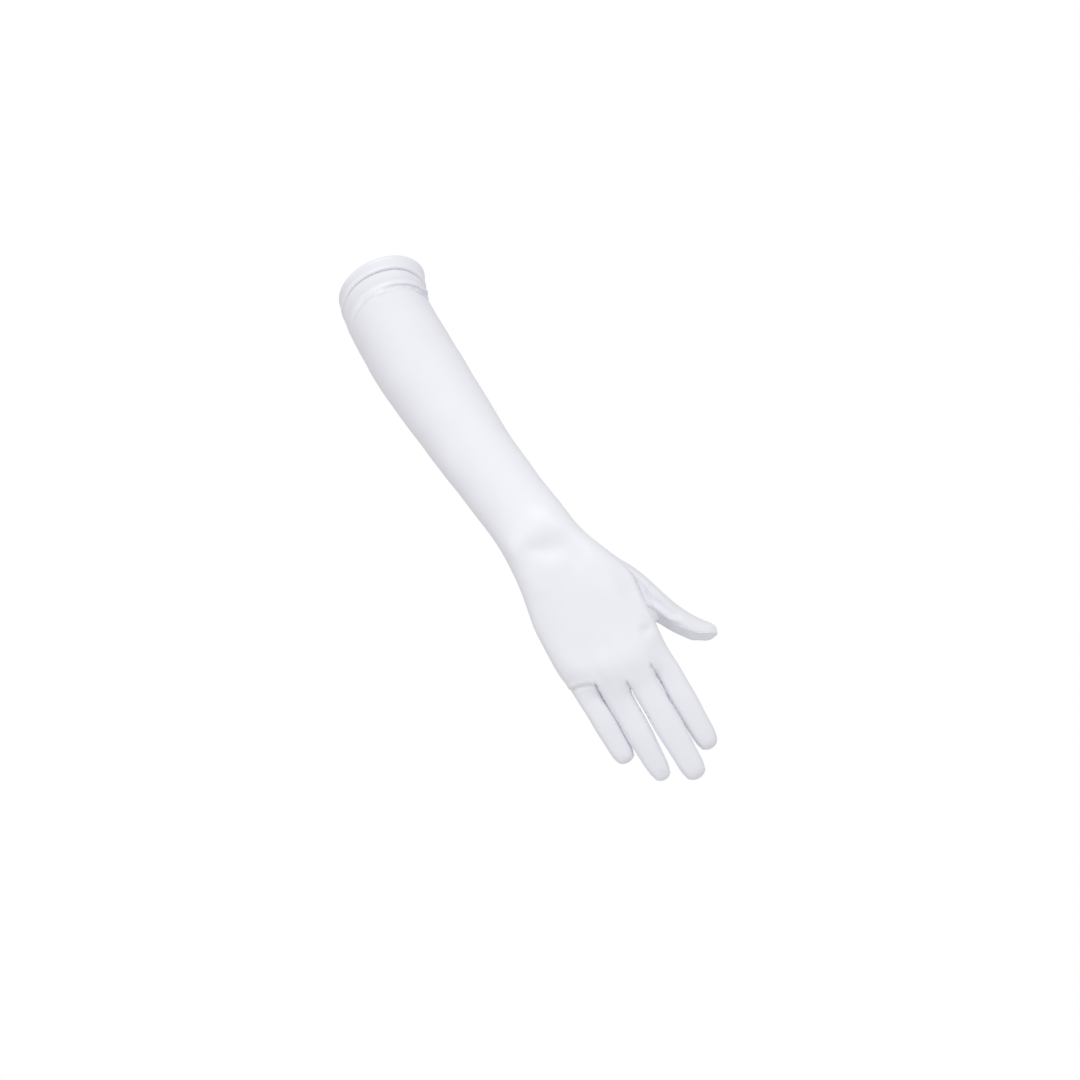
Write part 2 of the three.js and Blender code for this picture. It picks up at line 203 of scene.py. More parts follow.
SECTIONS = (
    Section("rim", 0, 0, 0, 33.8, 32, 31, 33, 4, roll=0.6),
    Section("hem_middle", -1.4, -3.3, -4.5, 33.2, 31.8, 30.9, 35, 3.5, roll=0.1),
    Section("groove_upper", -2.8, -6.7, -9.2, 32.5, 31.5, 30.7, 37, 3, roll=-0.3),
    Section("hem_foot", -3.2, -7.5, -10.3, 32.3, 31.4, 30.6, 37.3, 3, roll=-0.4),
    Section("groove_lower", -3.4, -8.3, -11.3, 32.2, 31.3, 30.5, 37.2, 2.7, roll=-0.4),
    Section("hem_shadow", -4.4, -11.0, -14.9, 31.7, 31, 30.2, 36, 1),
    Section("fold_rise", -4.9, -13.9, -18.6, 31.65, 30.9, 30.1, 36, 0.5, roll=0.6),
    Section("fold_crest", -5.25, -16, -21.4, 31.6, 30.8, 30, 36, 0, roll=1.4),
    Section("fold_wall", -5.4, -17.4, -23.3, 31.55, 30.7, 29.9, 36.5, -0.5, roll=0.3),
    Section("fold_groove", -5.55, -18.8, -25.2, 31.5, 30.6, 29.8, 37, -1, roll=-0.8),
    Section("fold_end", -5.7, -21.2, -28.2, 31.45, 30.4, 29.6, 37, -1, roll=-0.2),
    Section("upper_cuff", -5.8, -23.3, -31, 31.4, 30.2, 29.4, 37, -1),
    Section("elbow", -5.8, -37.5, -49.8, 31.3, 29.4, 28.6, 37, -1),
    Section("upper_forearm", -5.2, -54.3, -72, 30.9, 28.4, 27.6, 37, -2),
    Section("forearm", -3.8, -72.3, -95.8, 29.7, 26.8, 26.2, 37, -3),
    Section("mid_forearm", -2.0, -90.3, -119.7, 28.1, 25, 24.6, 37, -4, square=2.05),
    Section("lower_forearm", -0.3, -108.4, -143.7, 26.5, 23, 22.8, 37, -5, square=2.1),
    Section("above_wrist", 2.0, -124.1, -164.5, 25.4, 21.2, 21, 37, -6, square=2.1),
    Section("ulna", 4.2, -137.4, -182.3, 24.9, 20, 19.8, 36, -6, square=2.1),
    Section("wrist", 6.1, -148.3, -197.1, 24.6, 19, 18.8, 32, -6, square=2.15),
    Section("wrist_crease", 7.6, -157, -210.7, 24.9, 17.6, 18, 22, -4, square=2.2),
    Section("hand_heel", 8.8, -161.8, -225.7, 26.2, 15.6, 17.4, 8, -2, 0.06, 2.3),
    Section("thumb_root", 10.8, HAND_DEPTH, -240.7, 29.3, 14, 16.6, 0, 0, 0.16, 2.35),
    Section("thenar", 12.3, HAND_DEPTH, -254.7, 33.1, 13.2, 16, 0, 0, 0.32, 2.4),
    Section("mid_palm", 13.1, HAND_DEPTH, -267.7, 36.5, 12.8, 15.4, 0, 0, 0.5, 2.45),
    Section("upper_palm", 12.5, HAND_DEPTH, -280.7, 36.8, 12.8, 14.8, 0, 0, 0.66, 2.5),
    Section("knuckle_foot", 11.8, HAND_DEPTH, -292.7, 36.4, 13, 14.2, 0, 0, 0.8, 2.55),
    Section("knuckles", 11.3, HAND_DEPTH, -304.7, 35.7, 12.6, 13, 0, 0, 0.92, 2.6),
    Section("webs", 11.1, HAND_DEPTH, -320.7, 34.3, 10.4, 10.8, 0, 0, 1, 2.6),
)


def web_level(place: int) -> float:
    """Level in millimetres of the webs at a place of the last ring."""
    return at_borders(WEB_LEVELS, place) - (PALM_WEB_DROP if place > HALF_RING else 0.0)


@dataclass(frozen=True)
class Finger:
    """One finger of the glove, in millimetres."""

    root_x: float
    tip_x: float
    tip_z: float
    wide: float
    deep: float
    root_y: float
    tip_y: float
    taper: float

    def centre(self, root_z: float, along: float) -> Vector:
        """Centre in metres at a share of the finger's length."""
        x = lerp(self.root_x, self.tip_x, along)
        y = HAND_DEPTH + lerp(self.root_y, self.tip_y, along * along)
        return Vector((x, y, lerp(root_z, self.tip_z, along))) * MM


FINGERS = (
    Finger(-15.0, -14.1, -375.2, 7.6, 6.9, 1, 6, 0.02),
    Finger(1.9, 1.1, -397.2, 8.75, 7.4, 0, 6, 0.16),
    Finger(20.25, 20.7, -407.3, 9.1, 7.8, -1, 5, 0.02),
    Finger(37.95, 37.6, -394.9, 8.15, 7.5, 1.5, 7.5, 0.02),
)

# Where the seams run round a finger, in degrees, and the shape of its section and its tip
BACK_SEAM_ANGLE = 24.0
PALM_SEAM_ANGLE = 45.0
FULLNESS = 0.06
FINGER_FLATNESS = 0.68
FINGER_GIRTHS = ((0.13, 0.99), (0.31, 0.97), (0.49, 1.0), (0.67, 0.95), (0.85, 0.91), (0.955, 0.7))
TIP_SPREAD = 0.5
TIP_SAG = 0.12


@dataclass(frozen=True)
class ThumbSection:
    """One section of the thumb, in millimetres."""

    outer_x: float
    outer_z: float
    inner_x: float
    inner_z: float
    depth: float
    wide: float
    bow: float
    seam: float

    def angle(self, place: int, count: int) -> float:
        """Angle in radians of a place, with the lengthwise seam where this section has it."""
        step = 360 / count
        if place <= THUMB_SEAM_ROW:
            turn = lerp(THUMB_CORNER_ANGLE, self.seam, place / THUMB_SEAM_ROW)
        elif place < THUMB_OTHER_SEAM:
            share = (place - THUMB_SEAM_ROW) / (THUMB_OTHER_SEAM - THUMB_SEAM_ROW)
            turn = lerp(self.seam, THUMB_CORNER_ANGLE + THUMB_OTHER_SEAM * step, share)
        else:
            turn = THUMB_CORNER_ANGLE + place * step
        return math.radians(turn)

    @property
    def centre(self) -> Vector:
        """Middle of the section."""
        middle = Vector((self.outer_x + self.inner_x, 0, self.outer_z + self.inner_z)) / 2
        middle.y = HAND_DEPTH + self.depth
        return middle

    @property
    def reach(self) -> Vector:
        """Way from the middle to the outer edge."""
        return Vector((self.outer_x - self.inner_x, 0, self.outer_z - self.inner_z)) / 2

    def ring(self, count: int) -> list[Vector]:
        """Places in metres of the section's points, from the corner at the hand's side seam."""
        tipwards = Vector((self.reach.z, 0, -self.reach.x)).normalized()
        spots = []
        for place in range(count):
            angle = self.angle(place, count)
            spot = self.centre + self.reach * math.cos(angle)
            spot += tipwards * self.bow * math.sin(angle) ** 2
            beyond = (math.degrees(angle) - self.seam) / (180 - self.seam)
            undercut = THUMB_UNDERCUT * math.sin(math.pi * beyond) if 0 < beyond < 1 else 0.0
            spot.y -= self.wide * math.sin(angle) * (1 - undercut)
            spots.append(spot * MM)
        return spots


THUMB_SECTIONS = (
    ThumbSection(48.0, -258.0, 49.6, -309.0, 13.5, 13.5, 5, 138),
    ThumbSection(55.6, -273.5, 53.6, -316.0, 14.5, 12.6, 3.5, 134),
    ThumbSection(60.6, -288.6, 57.9, -322.3, 15.8, 11.6, 2.2, 126),
    ThumbSection(65.2, -301.6, 62.4, -328.0, 17, 10.8, 1, 116),
    ThumbSection(71.2, -314.0, 66.6, -330.6, 18.5, 10.0, 0.4, 110),
    ThumbSection(77.0, -322.0, 72.2, -333.9, 19.5, 8.6, 0, 100),
)
THUMB_TIP = Vector((80.0, HAND_DEPTH + 20, -330.9)) * MM
THUMB_UNDERCUT = 0.22

# The thumb's hole in the palm side, in rows and columns of the cage, and its seams
THUMB_FIRST_ROW = 22
THUMB_ROWS = 5
THUMB_COLUMNS = 4
THUMB_SEAM_ROW = 4
THUMB_OTHER_SEAM = 2 * THUMB_ROWS + THUMB_COLUMNS - THUMB_SEAM_ROW
THUMB_CORNER_ANGLE = 40.0


@dataclass
class Cage:
    """The worn surface as a coarse net of four-sided faces, smoothed into the cloth later."""

    mesh: WorkMesh = field(default_factory=bmesh.new)
    fit_rounds: int = 8

    def __post_init__(self) -> None:
        """Adds the map that follows the cloth."""
        self.uv = self.mesh.loops.layers.uv.new(CLOTH_MAP)

    def first_ring(self, spots: list[Vector]) -> list[Vert]:
        """Starts the net with one closed ring.

        Args:
            spots: where its points lie.

        Returns:
            The ring's vertices in order.
        """
        made = bmesh.ops.create_circle(self.mesh, cap_ends=False, segments=len(spots), radius=MM)
        for vertex, spot in zip(made["verts"], spots):
            vertex.co = spot
        return made["verts"]

    def band(
        self,
        upper: list[Vert],
        spots: list[Vector],
        panel_of: Callable[[int], Panel],
        length: tuple[float, float],
    ) -> list[Vert]:
        """Extrudes a ring to the next one.

        Args:
            upper: the ring to start from.
            spots: where the new ring's points lie.
            panel_of: the piece of cloth that each place of the band belongs to.
            length: how far down the cloth the two rings lie, in millimetres.

        Returns:
            The new ring's vertices in order.
        """
        count = len(upper)
        lower = next_ring(self.mesh, upper)
        for vertex, spot in zip(lower, spots):
            vertex.co = spot
        for place in range(count):
            after = (place + 1) % count
            corners = (upper[place], lower[place], lower[after], upper[after])
            face = self.mesh.faces.get(corners)
            face.material_index = panel_of(place).value
            for loop in face.loops:
                column = place + (loop.vert in corners[2:])
                down = length[1] if loop.vert in corners[1:3] else length[0]
                loop[self.uv].uv = (column * COLUMN_WIDTH * MM, -down * MM)
        return lower

    def cap(
        self,
        rails: list[list[Vert]],
        side: list[Vert],
        panel_of_row: Callable[[int], Panel],
    ) -> list[list[Vert]]:
        """Fills the end of a finger or the thumb with a grid.

        Args:
            rails: the two opposite runs of border vertices that the grid is filled between.
            side: the border vertices down one side, one for each line of the grid.
            panel_of_row: the piece of cloth that each row of faces belongs to.

        Returns:
            The lines of the grid, each from that side to the other.
        """
        edges = [self.mesh.edges.get(pair) for rail in rails for pair in zip(rail, rail[1:])]
        made = bmesh.ops.grid_fill(self.mesh, edges=edges, use_smooth=True)
        waiting = set(made["faces"])
        lines = [[vertex] for vertex in side]
        for row, (upper, lower) in enumerate(zip(side, side[1:])):
            while True:
                pair = {upper, lower}
                face = next((face for face in waiting if pair <= set(face.verts)), None)
                if face is None:
                    break
                waiting.discard(face)
                face.material_index = panel_of_row(row).value
                for loop in face.loops:
                    loop[self.uv].uv = (loop.vert.co.x, loop.vert.co.z)
                ends = [vertex for vertex in face.verts if vertex not in pair]
                if not self.mesh.edges.get((upper, ends[0])):
                    ends.reverse()
                upper, lower = ends
                if row == 0:
                    lines[0].append(upper)
                lines[row + 1].append(lower)
        return lines

    def weights(self) -> np.ndarray:
        """How each point of the smooth surface depends on the cage's points."""
        vertices = self.mesh.verts
        vertices.index_update()
        table = np.zeros((len(vertices), len(vertices)))
        for vertex in vertices:
            row = table[vertex.index]
            if vertex.is_boundary:
                row[vertex.index] = 4 / 6
                for edge in vertex.link_edges:
                    if edge.is_boundary:
                        row[edge.other_vert(vertex).index] += 1 / 6
                continue
            count = len(vertex.link_edges)
            whole = count * (count + 5)
            row[vertex.index] = count * count / whole
            for edge in vertex.link_edges:
                row[edge.other_vert(vertex).index] += 4 / whole
            for loop in vertex.link_loops:
                row[loop.link_loop_next.link_loop_next.vert.index] += 1 / whole
        return table

    def fit(self) -> None:
        """Moves the points until the smooth surface passes close to where they started."""
        table = self.weights()
        goal = np.array([vertex.co for vertex in self.mesh.verts])
        spots = goal.copy()
        for _ in range(self.fit_rounds):
            spots += goal - table @ spots
        for vertex, spot in zip(self.mesh.verts, spots):
            vertex.co = spot

    def smooth(self) -> bpy.types.Mesh:
        """Subdivides the cage.

        Returns:
            The fine mesh, with each face's piece in its material place.
        """
        bmesh.ops.recalc_face_normals(self.mesh, faces=self.mesh.faces)
        self.fit()
        coarse = bpy.data.meshes.new("cage")
        self.mesh.to_mesh(coarse)
        self.mesh.free()
        for _ in Panel:
            coarse.materials.append(None)
        holder = bpy.data.objects.new("cage", coarse)
        bpy.context.scene.collection.objects.link(holder)
        divider = holder.modifiers.new("smooth", "SUBSURF")
        divider.levels = SMOOTHNESS
        divider.render_levels = SMOOTHNESS
        divider.uv_smooth = "PRESERVE_BOUNDARIES"
        graph = bpy.context.evaluated_depsgraph_get()
        fine = bpy.data.meshes.new_from_object(holder.evaluated_get(graph))
        bpy.data.objects.remove(holder)
        bpy.data.meshes.remove(coarse)
        return fine


@dataclass
class GloveForm:
    """Rings of the sleeve, hand, fingers and thumb, laid into a cage."""

    cage: Cage = field(default_factory=Cage)
    length: float = 0.0

    def build(self) -> bpy.types.Mesh:
        """Lays the whole glove and returns the smooth surface."""
        rings = self.lay_sleeve_and_hand()
        self.lay_fingers(rings[-1])
        self.lay_thumb(rings)
        return self.cage.smooth()

    @staticmethod
    def sleeve_panel(row: int, place: int) -> Panel:
        """Piece of cloth at a row and place of the sleeve and hand."""
        if row < HEM_ROWS:
            return Panel.CUFF_HEM
        return Panel.BACK_PANEL if place < HALF_RING else Panel.PALM_PANEL

    def lay_sleeve_and_hand(self) -> list[list[Vert]]:
        """Lays the rings from the rim to the webs."""
        rings = [self.cage.first_ring([SECTIONS[0].point(place) for place in range(RING)])]
        for row, (upper, lower) in enumerate(zip(SECTIONS, SECTIONS[1:])):
            run = math.dist((upper.x, upper.y, upper.z), (lower.x, lower.y, lower.z))
            spots = [lower.point(place) for place in range(RING)]
            panel_of = partial(self.sleeve_panel, row)
            ends = (self.length, self.length + run)
            rings.append(self.cage.band(rings[-1], spots, panel_of, ends))
            self.length += run
        return rings

    @staticmethod
    def finger_panels(number: int) -> list[Panel]:
        """Pieces of cloth round a finger's ring, over its back first."""
        before = FOURCHETTES[number - 1] if number else None
        after = FOURCHETTES[number] if number < len(FOURCHETTES) else None
        halves = []
        for half, sides in ((Panel.BACK_PANEL, (before, after)), (Panel.PALM_PANEL, (after, before))):
            halves += [sides[0] or half, *[half] * FINGER_COLUMNS, sides[1] or half]
        return halves

    def lay_fingers(self, webs: list[Vert]) -> None:
        """Lays the four fingers below the webs, which share their middle points."""
        middles = []
        for number in range(len(FOURCHETTES)):
            back = webs[(number + 1) * FINGER_COLUMNS + 1]
            front = webs[RING - (number + 1) * FINGER_COLUMNS - 1]
            spot = (back.co + front.co) / 2
            spot.z = min(back.co.z, front.co.z) - WEB_SAG * MM
            middle = bmesh.ops.create_vert(self.cage.mesh, co=spot)["vert"][0]
            self.cage.mesh.edges.new((back, middle))
            self.cage.mesh.edges.new((middle, front))
            middles.append(middle)
        for number in range(len(FINGERS)):
            first = 1 + number * FINGER_COLUMNS
            left = webs[0] if number == 0 else middles[number - 1]
            right = webs[HALF_RING] if number == len(FINGERS) - 1 else middles[number]
            back = webs[first : first + FINGER_COLUMNS + 1]
            start = RING - first - FINGER_COLUMNS
            front = webs[start : start + FINGER_COLUMNS + 1]
            self.lay_finger(number, [left, *back, right, *front])

    def lay_finger(self, number: int, root: list[Vert]) -> None:
        """Lays one finger.

        Args:
            number: its place in the table, the little finger first.
            root: its first ring, from the side, over the back, the other side and the front.
        """
        finger = FINGERS[number]
        root_z = min(WEB_LEVELS[number], WEB_LEVELS[number + 1])
        back_step = (180 - 2 * BACK_SEAM_ANGLE) / FINGER_COLUMNS
        front_step = (180 - 2 * PALM_SEAM_ANGLE) / FINGER_COLUMNS
        columns = range(FINGER_COLUMNS + 1)
        back_angles = [180 - BACK_SEAM_ANGLE - column * back_step for column in columns]
        front_angles = [-PALM_SEAM_ANGLE - column * front_step for column in columns]
        angles = [180, *back_angles, 0, *front_angles]
        panels = self.finger_panels(number)
        upper = root
        length = self.length
        for along, girth in FINGER_GIRTHS:
            centre = finger.centre(root_z, along)
            spots = []
            narrowed = girth * (1 - finger.taper * along * along)
            wide = finger.wide * narrowed + FULLNESS
            for angle in angles:
                across = wide * squared(math.cos(math.radians(angle))) * MM
                deep = finger.deep * narrowed * squared(math.sin(math.radians(angle))) * MM
                spots.append(centre + Vector((across, -deep, 0)))
            reach = self.length + along * (root_z - finger.tip_z)
            upper = self.cage.band(upper, spots, panels.__getitem__, (length, reach))
            length = reach
        self.close_tip(finger, finger.centre(root_z, 1), upper)

    def close_tip(self, finger: Finger, tip: Vector, ring: list[Vert]) -> None:
        """Closes a finger with the short seam in which its back and front meet."""
        back = ring[1 : FINGER_COLUMNS + 2]
        front = ring[FINGER_COLUMNS + 3 :]
        halves = (Panel.BACK_PANEL, Panel.PALM_PANEL)
        lines = self.cage.cap([back, front], [ring[1], ring[0], ring[-1]], halves.__getitem__)
        for column in range(1, FINGER_COLUMNS):
            side = 2 * column / FINGER_COLUMNS - 1
            spot = Vector((side * finger.wide * TIP_SPREAD, 0, finger.wide * TIP_SAG * side * side))
            lines[1][column].co = tip + spot * MM

    def lay_thumb(self, rings: list[list[Vert]]) -> None:
        """Opens the thumb's hole in the palm side and lays the thumb from its edge."""
        rows = rings[THUMB_FIRST_ROW : THUMB_FIRST_ROW + THUMB_ROWS + 1]
        first, last = HALF_RING, HALF_RING + THUMB_COLUMNS
        down = [ring[first] for ring in rows]
        across = rows[-1][first + 1 : last + 1]
        up = [ring[last] for ring in rows[-2::-1]]
        returned = rows[0][last - 1 : first : -1]
        hole = [*down, *across, *up, *returned]
        lost = []
        for upper, lower in zip(rows, rows[1:]):
            for place in range(first, last):
                corners = (upper[place], lower[place], lower[place + 1], upper[place + 1])
                lost.append(self.cage.mesh.faces.get(corners))
        bmesh.ops.delete(self.cage.mesh, geom=lost, context="FACES")

        def panel_of(place: int) -> Panel:
            """Piece of cloth at a place of the thumb's ring."""
            inside = THUMB_SEAM_ROW <= place < THUMB_OTHER_SEAM
            return Panel.THUMB_PALM if inside else Panel.THUMB_BACK

        ring = hole
        length = 0.0
        for section in THUMB_SECTIONS:
            reach = length + COLUMN_WIDTH * 2
            ring = self.cage.band(ring, section.ring(len(hole)), panel_of, (length, reach))
            length = reach
        self.close_thumb(ring)

    def close_thumb(self, ring: list[Vert]) -> None:
        """Closes the thumb with a domed grid."""
        corner = THUMB_ROWS + THUMB_COLUMNS
        left = ring[: THUMB_ROWS + 1]
        right = ring[corner : corner + THUMB_ROWS + 1][::-1]

        def panel_of_row(row: int) -> Panel:
            """Piece of cloth at a row of the dome."""
            return Panel.THUMB_BACK if row < THUMB_SEAM_ROW else Panel.THUMB_PALM

        lines = self.cage.cap([left, right], left, panel_of_row)
        section = THUMB_SECTIONS[-1]
        centre = section.centre * MM
        reach = section.reach * MM
        for row in range(1, THUMB_ROWS):
            for column in range(1, THUMB_COLUMNS):
                across, down = column / THUMB_COLUMNS, row / THUMB_ROWS
                above = ring[-column % len(ring)].co
                below = ring[THUMB_ROWS + column].co
                level = left[row].co.lerp(right[row].co, across)
                flat = (level + above.lerp(below, down)) / 2
                away = flat - centre
                share = (away.dot(reach) / reach.length_squared) ** 2
                share += (away.y / (section.wide * MM)) ** 2
                rise = math.sqrt(max(0.0, 1 - share))
                lines[row][column].co = flat + (THUMB_TIP - centre) * rise


@dataclass(frozen=True)
class PhotoView:
    """Viewpoint of the photograph, 1080 pixels wide and high."""

    eye: tuple[float, float, float] = (0.0085, -1.263, -0.2207)
    roll: float = 30.0
    pixels: float = 1080.0
    pixel_size: float = 0.65
    pixel_distance: float = 1100.0
    sensor: float = 36.0

    @property
    def axes(self) -> np.ndarray:
        """Directions to the right, up and away from the viewer, as rows."""
        turn = math.radians(self.roll)
        right = (math.cos(turn), 0.0, -math.sin(turn))
        up = (math.sin(turn), 0.0, math.cos(turn))
        return np.array([right, up, (0.0, 1.0, 0.0)])

    @property
    def focal_pixels(self) -> float:
        """Distance of the picture plane in pixels."""
        return self.pixel_distance / self.pixel_size

    def project(self, spots: np.ndarray) -> np.ndarray:
        """Places in the photograph, in pixels, of places in metres."""
        seen = (spots - np.array(self.eye)) @ self.axes.T
        scale = self.focal_pixels / seen[:, 2]
        half = self.pixels / 2
        return np.stack([half + seen[:, 0] * scale, half - seen[:, 1] * scale], axis=1)

    def facing(self, spots: np.ndarray, outwards: np.ndarray) -> np.ndarray:
        """How squarely each place faces the viewer, from 0 at the outline to 1."""
        sight = np.array(self.eye) - spots
        sight /= np.linalg.norm(sight, axis=1, keepdims=True)
        return np.clip((sight * outwards).sum(1), 0.0, 1.0)

    def place_camera(self) -> None:
        """Makes the scene's camera."""
        lens = bpy.data.cameras.new("glove_view")
        lens.sensor_width = self.sensor
        lens.lens = self.focal_pixels * self.sensor / self.pixels
        lens.clip_start = 0.05
        camera = bpy.data.objects.new("glove_view", lens)
        right, up, away = (Vector(axis) for axis in self.axes)
        turn = Matrix((right, up, -away)).transposed()
        camera.matrix_world = Matrix.Translation(self.eye) @ turn.to_4x4()
        bpy.context.scene.collection.objects.link(camera)
        bpy.context.scene.camera = camera


@dataclass(frozen=True)
class Bump:
    """A soft swelling or hollow of the hand under the cloth, in millimetres."""

    name: str
    x: float
    z: float
    across: float
    along: float
    height: float

    def lift(self, spots: np.ndarray) -> np.ndarray:
        """Height in metres that it adds at each place, given in metres."""
        across = (spots[:, 0] / MM - self.x) / self.across
        along = (spots[:, 2] / MM - self.z) / self.along
        return self.height * MM * np.exp(-(across**2 + along**2))


@dataclass(frozen=True)
class Patch:
    """A small hollow or swelling, placed where the photograph shows it, in its pixels."""

    name: str
    at: tuple[float, float]
    reach: tuple[float, float]
    turn: float
    height_mm: float

    def lift(self, places: np.ndarray) -> np.ndarray:
        """Height in metres that it adds at each place, given in pixels."""
        away = places - np.array(self.at)
        angle = math.radians(self.turn)
        along = away @ np.array([math.cos(angle), math.sin(angle)]) / self.reach[0]
        across = away @ np.array([-math.sin(angle), math.cos(angle)]) / self.reach[1]
        return self.height_mm * MM * np.exp(-(along**2 + across**2))


@dataclass(frozen=True)
class Crease:
    """A fold line of the cloth, placed where the photograph shows it, in its pixels."""

    name: str
    path: tuple[tuple[float, float], ...]
    depth_mm: float
    width: float
    ridge_mm: float = 0.0
    ridge_away: float = 0.0
    ridge_width: float = 3.0
    fade: tuple[float, float] = (0.2, 0.2)

    def lift(self, places: np.ndarray) -> np.ndarray:
        """Height in metres that it adds at each place, given in pixels."""
        near = np.full(len(places), math.inf)
        side = np.zeros(len(places))
        along = np.zeros(len(places))
        corners = np.array(self.path)
        runs = np.linalg.norm(np.diff(corners, axis=0), axis=1)
        done = 0.0
        for start, end, run in zip(corners, corners[1:], runs):
            step = (end - start) / run
            reach = np.clip((places - start) @ step, 0.0, run)
            away = places - start - reach[:, None] * step
            distance = np.linalg.norm(away, axis=1)
            closer = distance < near
            near[closer] = distance[closer]
            side[closer] = (away @ np.array([step[1], -step[0]]))[closer]
            along[closer] = ((done + reach) / runs.sum())[closer]
            done += run
        offset = np.where(side < 0, -near, near)
        ridge = (offset - self.ridge_away) / self.ridge_width
        height = self.ridge_mm * np.exp(-(ridge**2))
        height -= self.depth_mm * np.exp(-((offset / self.width) ** 2))
        height *= np.clip(along / self.fade[0], 0.0, 1.0)
        height *= np.clip((1 - along) / self.fade[1], 0.0, 1.0)
        return height * MM


BUMPS = (
    Bump("ulna_head", -9.5, -216, 9, 11, 2.0),
    Bump("wrist_hollow", 13, -215, 14, 9, -0.5),
    Bump("little_knuckle", -12, -305, 8, 10, 1.9),
    Bump("ring_knuckle", 3, -312, 8, 11, 2.2),
    Bump("middle_knuckle", 20, -314, 9, 11, 2.0),
    Bump("index_knuckle", 36, -308, 8, 10, 1.3),
    Bump("knuckle_rise", 10, -318, 34, 18, 1.6),
)

PATCHES = (
    Patch("wrist_dip_left", (532, 549), (11, 8), -20, -1.2),
    Patch("wrist_dip_middle", (553, 546), (24, 15), -25, -4.2),
    Patch("wrist_dip_lower", (566, 573), (30, 24), -25, -1.8),
    Patch("wrist_dip_right", (577, 556), (11, 15), 0, -1.2),
    Patch("ulna_spot", (512, 549), (8, 9), 0, 0.6),
    Patch("web_rim_little", (596, 682), (3.4, 3.2), 0, 0.35),
    Patch("web_pit_little", (596.6, 685.5), (1.7, 2.2), 0, -1.1),
    Patch("web_rim_ring", (627, 680.5), (3.4, 3.2), 0, 0.35),
    Patch("web_pit_ring", (627.4, 684), (1.7, 2.4), 0, -1.1),
    Patch("web_rim_index", (649.5, 663), (3.4, 3.2), 0, 0.35),
    Patch("web_pit_index", (650.8, 667), (1.8, 2.6), 0, -1.2),
    Patch("hand_edge_dimple", (646, 630), (5, 7), 60, -2.0),
    Patch("hand_edge_hollow", (628, 588), (9, 20), -30, -2.0),
    Patch("ring_tip_facet", (662, 775), (5, 4), -30, -0.5),
)

SECOND_FOLD = (
    (372.8, 298.2), (379.6, 293.7), (387, 289.4), (395.8, 286.9),
    (405.8, 286.3), (415.8, 288.7), (424.5, 294.2), (430.8, 302.2),
)
LEFT_FLARE = ((365, 304.5), (371, 299.5), (378.5, 295.5))
LEFT_CREASE = ((369, 294), (361, 304), (354.5, 314), (350, 325))
WRIST_RIDGE = ((525, 572), (533, 582), (543, 597))
LITTLE_BASE = ((569.5, 692.5), (575, 688.5), (581, 685.9), (588, 684.7), (595, 685.2))
LITTLE_BASE_UPPER = ((576, 683), (583, 680.6), (590, 680))
THUMB_FOLD = ((647.5, 599), (653, 605), (660, 610.5), (670, 618), (682.5, 622.5))
THUMB_BASE = ((647, 581), (648, 590), (645.5, 599))

CREASES = (
    Crease("second_fold", SECOND_FOLD, 1.4, 1.2, 1.7, 2.9, 1.35, fade=(0.3, 0.16)),
    Crease("left_flare", LEFT_FLARE, -0.55, 2.2),
    Crease("left_crease", LEFT_CREASE, 0.6, 1.7, 0.3, -3.6, 2.2),
    Crease("wrist_ridge", WRIST_RIDGE, -0.5, 8.0),
    Crease("little_base", LITTLE_BASE, 1.2, 1.5, 0.8, 4.2, 2.4, fade=(0.05, 0.15)),
    Crease("little_base_upper", LITTLE_BASE_UPPER, 0.35, 1.5),
    Crease("thumb_fold", THUMB_FOLD, -1.3, 2.4, -1.1, 5.5, 3.2),
    Crease("thumb_base_roll", THUMB_BASE, -0.6, 1.4, -0.1, -2.4, 1.3),
)


@dataclass(frozen=True)
class HemRoll:
    """Swells and hollows round the cuff: place down the cloth, reach and height, in millimetres."""

    waves: tuple[tuple[float, float, float], ...] = (
        (3.2, 1.2, -0.45),
        (9.6, 2.5, 0.7),
        (13.4, 1.4, -2.0),
        (16.0, 1.6, 0.25),
    )
    lowest: float = -60.0

    def lift(self, down: np.ndarray, spots: np.ndarray) -> np.ndarray:
        """Height in metres at each place, given how far down the cloth it lies, in millimetres."""
        height = np.zeros(len(down))
        for place, reach, swell in self.waves:
            height += swell * np.exp(-(((down - place) / reach) ** 2))
        return np.where(spots[:, 2] > self.lowest * MM, height, 0.0) * MM


